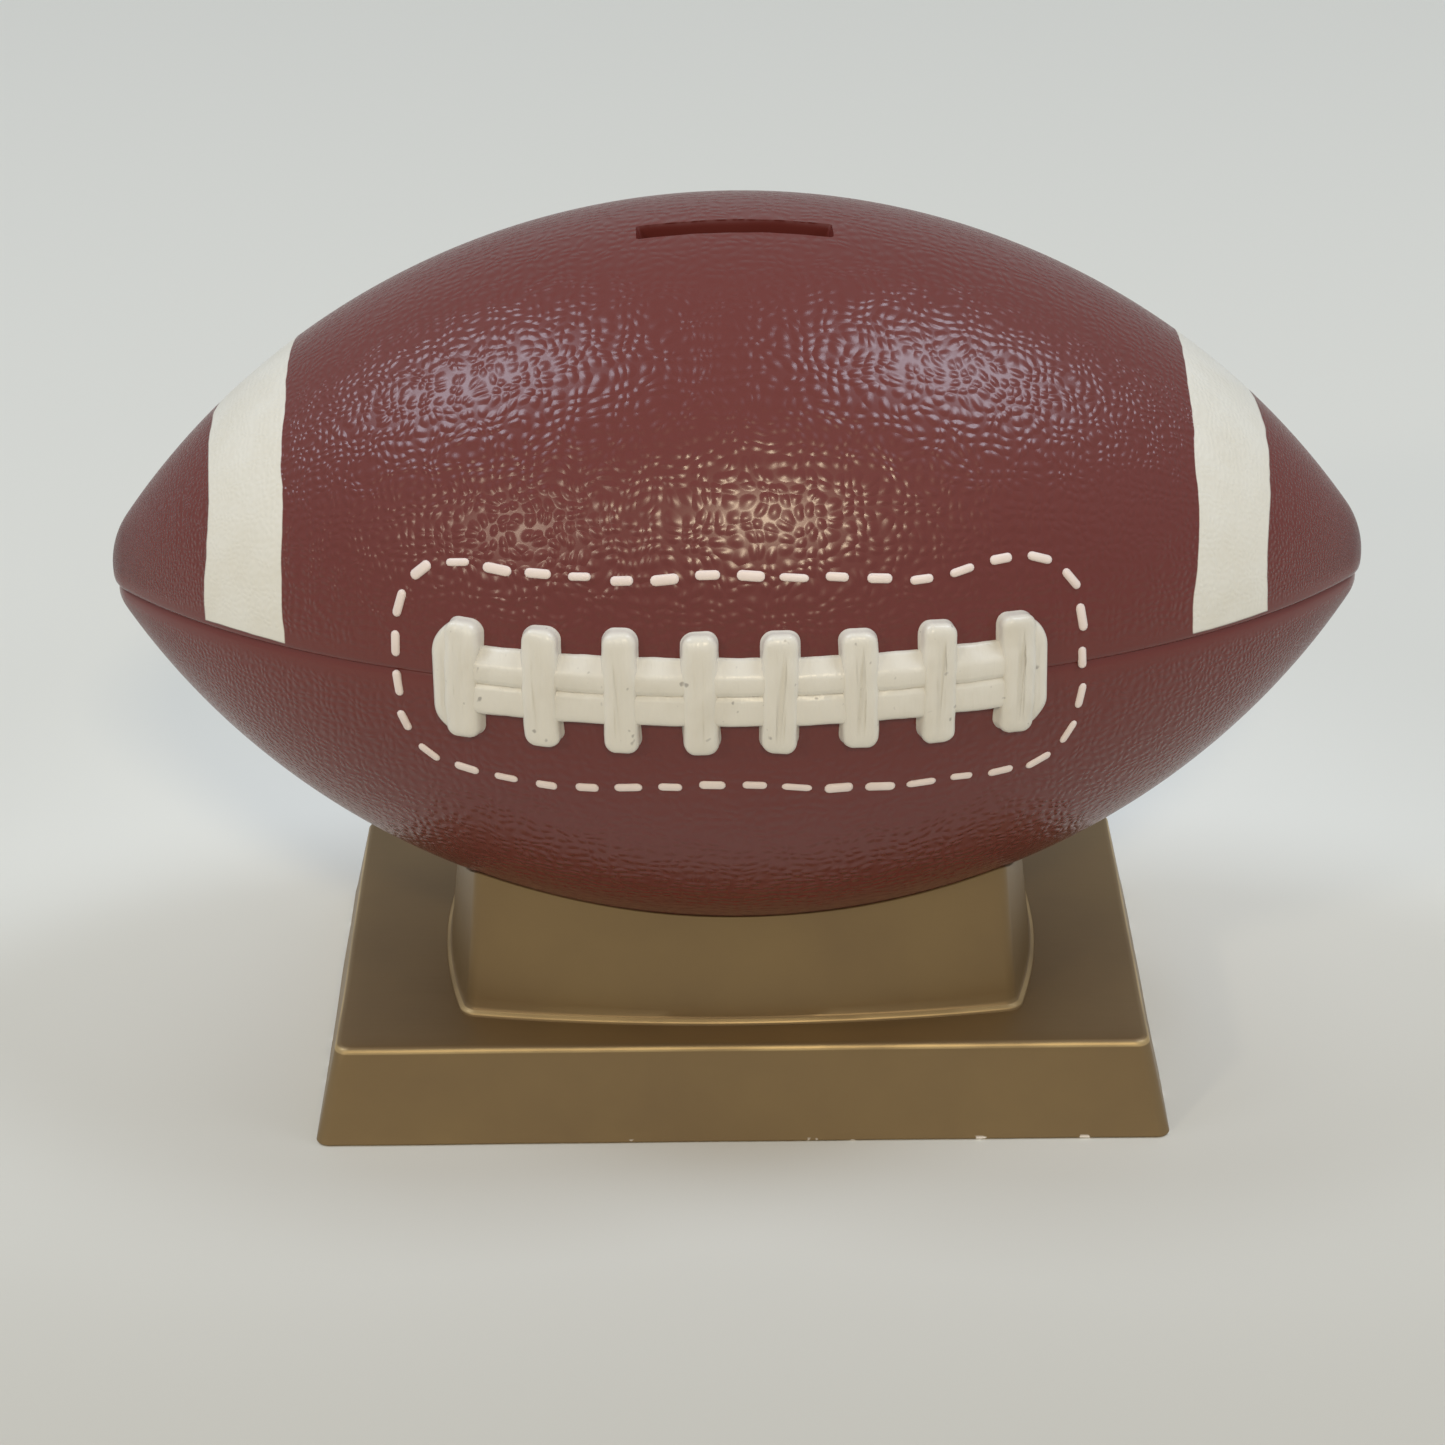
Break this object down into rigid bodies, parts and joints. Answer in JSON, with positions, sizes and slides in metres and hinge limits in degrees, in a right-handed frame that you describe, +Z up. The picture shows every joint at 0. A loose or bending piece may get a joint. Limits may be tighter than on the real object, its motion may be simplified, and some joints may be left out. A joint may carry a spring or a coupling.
{
  "type": "football coin bank on a pedestal",
  "caption": "Football-shaped coin bank with raised laces and painted stripes, cradled on a flared pedestal with a rubber stopper underneath.",
  "frame": {"origin": "middle of the plinth's foot, on the surface that it stands on", "axes": "+X along the ball, -Y towards the laced front, +Z up"},
  "size_m": [0.2, 0.1191, 0.141],
  "materials": {
    "maroon_glaze": "semi-gloss pebbled maroon glaze with two ivory painted stripes",
    "ivory_glaze": "glossy hand-painted ivory",
    "stitch_paint": "raised pinkish ivory paint",
    "bronze_paint": "satin bronze paint on a cast body",
    "black_rubber": "matte moulded rubber"
  },
  "bodies": {
    "bank": {"ball_upper_shell": "maroon_glaze", "ball_lower_shell": "maroon_glaze", "lace_cord_upper": "ivory_glaze", "lace_cord_lower": "ivory_glaze", "lace_bar_1": "ivory_glaze", "lace_bar_2": "ivory_glaze", "lace_bar_3": "ivory_glaze", "lace_bar_4": "ivory_glaze", "lace_bar_5": "ivory_glaze", "lace_bar_6": "ivory_glaze", "lace_bar_7": "ivory_glaze", "lace_bar_8": "ivory_glaze", "lace_stitching": "stitch_paint", "neck": "bronze_paint", "plinth": "bronze_paint"},
    "plug": {"stopper": "black_rubber"}
  },
  "joints": [
    {"name": "stopper_pull", "type": "slide", "parent": "bank", "child": "plug", "axis": [0, 0, -1], "range_m": [0, 0.03]}
  ]
}
